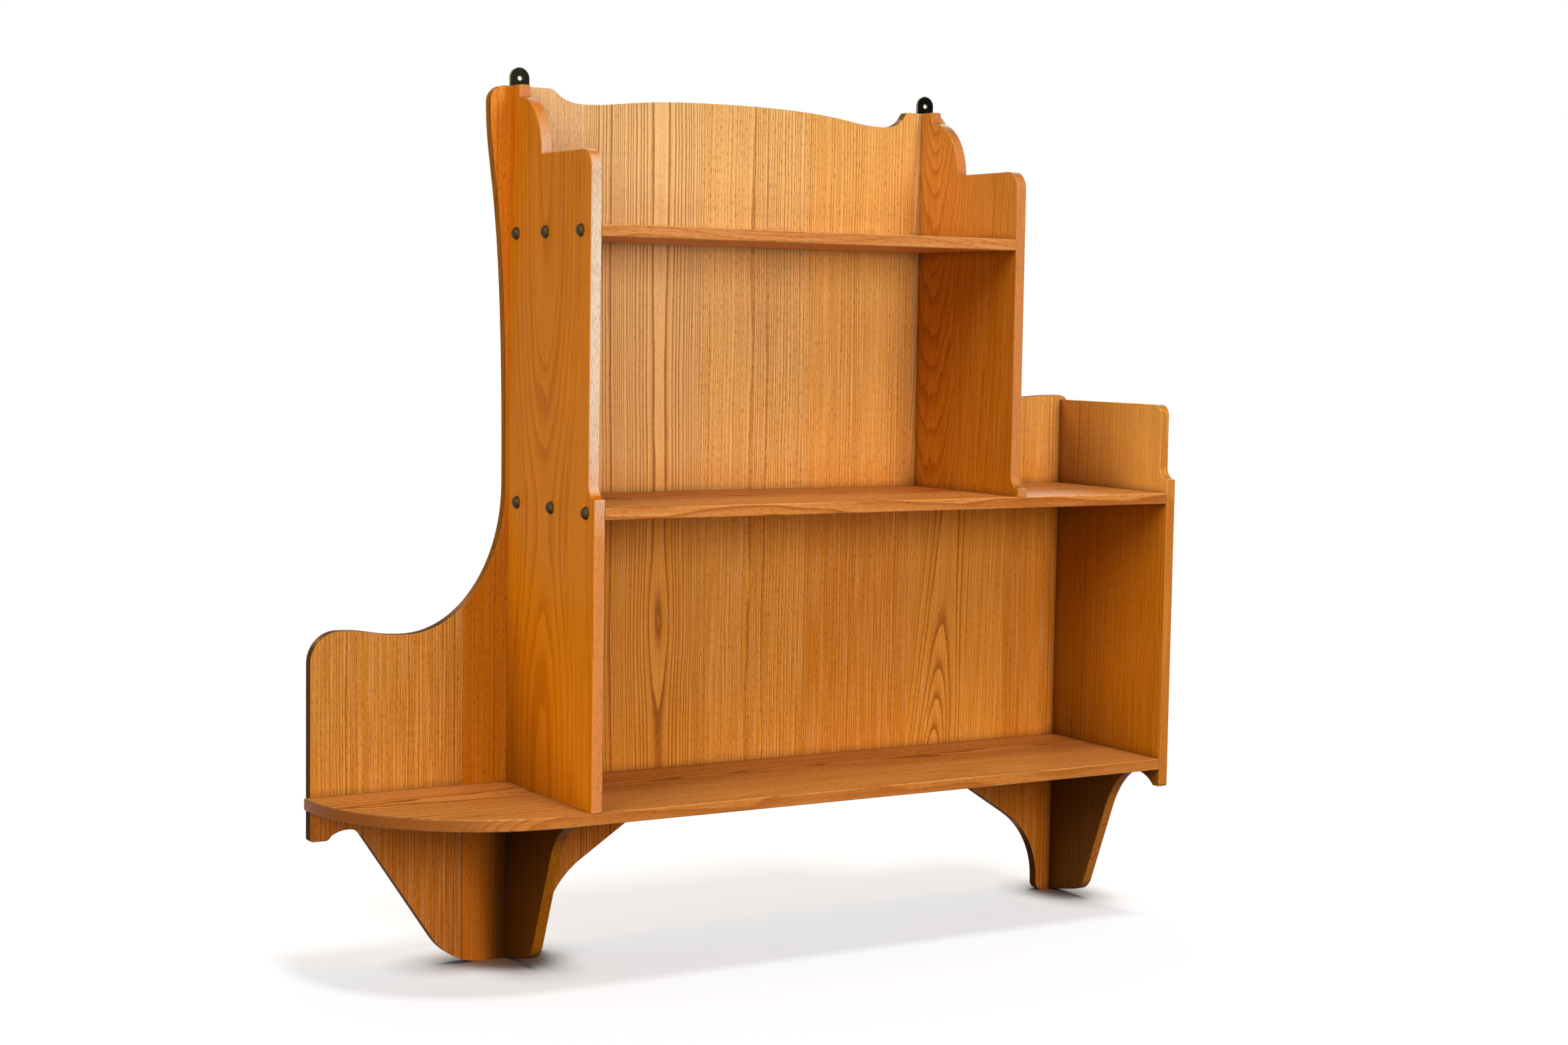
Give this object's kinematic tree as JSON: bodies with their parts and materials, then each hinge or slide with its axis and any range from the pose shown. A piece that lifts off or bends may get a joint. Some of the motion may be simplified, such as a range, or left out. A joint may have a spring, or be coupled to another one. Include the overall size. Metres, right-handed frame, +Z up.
{
  "type": "wall shelf",
  "caption": "Stepped wooden wall shelf with a fret-cut back, rounded left wing ledge, coved uprights, bracket feet and brass hanging plates.",
  "frame": {"origin": "midway between the two hanging holes, on the wall plane", "axes": "+X to the right seen from the front, +Y into the wall, +Z up"},
  "size_m": [1.275, 0.283, 1.2445],
  "materials": {
    "back_ash": "satin oiled",
    "side_ash": "satin oiled",
    "shelf_ash": "satin oiled",
    "bronze": "dark bronze, burnished",
    "dowel_beech": "raw",
    "plate_brass": "polished, aged",
    "screw_steel": "dull"
  },
  "bodies": {
    "root": {"back_board_1": "back_ash", "back_board_2": "back_ash", "back_board_3": "back_ash", "back_board_4": "back_ash", "back_board_5": "back_ash", "back_board_6": "back_ash", "back_board_7": "back_ash", "left_upright": "side_ash", "right_upright": "side_ash", "right_side_panel": "side_ash", "left_bracket": "side_ash", "top_shelf": "shelf_ash", "middle_shelf": "shelf_ash", "bottom_shelf": "shelf_ash", "left_upright_top_nails": "bronze", "left_upright_middle_nails": "bronze", "right_upright_top_nails": "bronze", "right_panel_middle_nails": "bronze", "right_panel_bottom_nails": "bronze", "left_upright_dowels": "dowel_beech", "right_upright_dowels": "dowel_beech", "left_bracket_dowels": "dowel_beech", "hanging_plate_left": "plate_brass", "hanging_plate_right": "plate_brass", "hanging_plate_screws": "screw_steel", "back_screws": "screw_steel"}
  },
  "joints": []
}
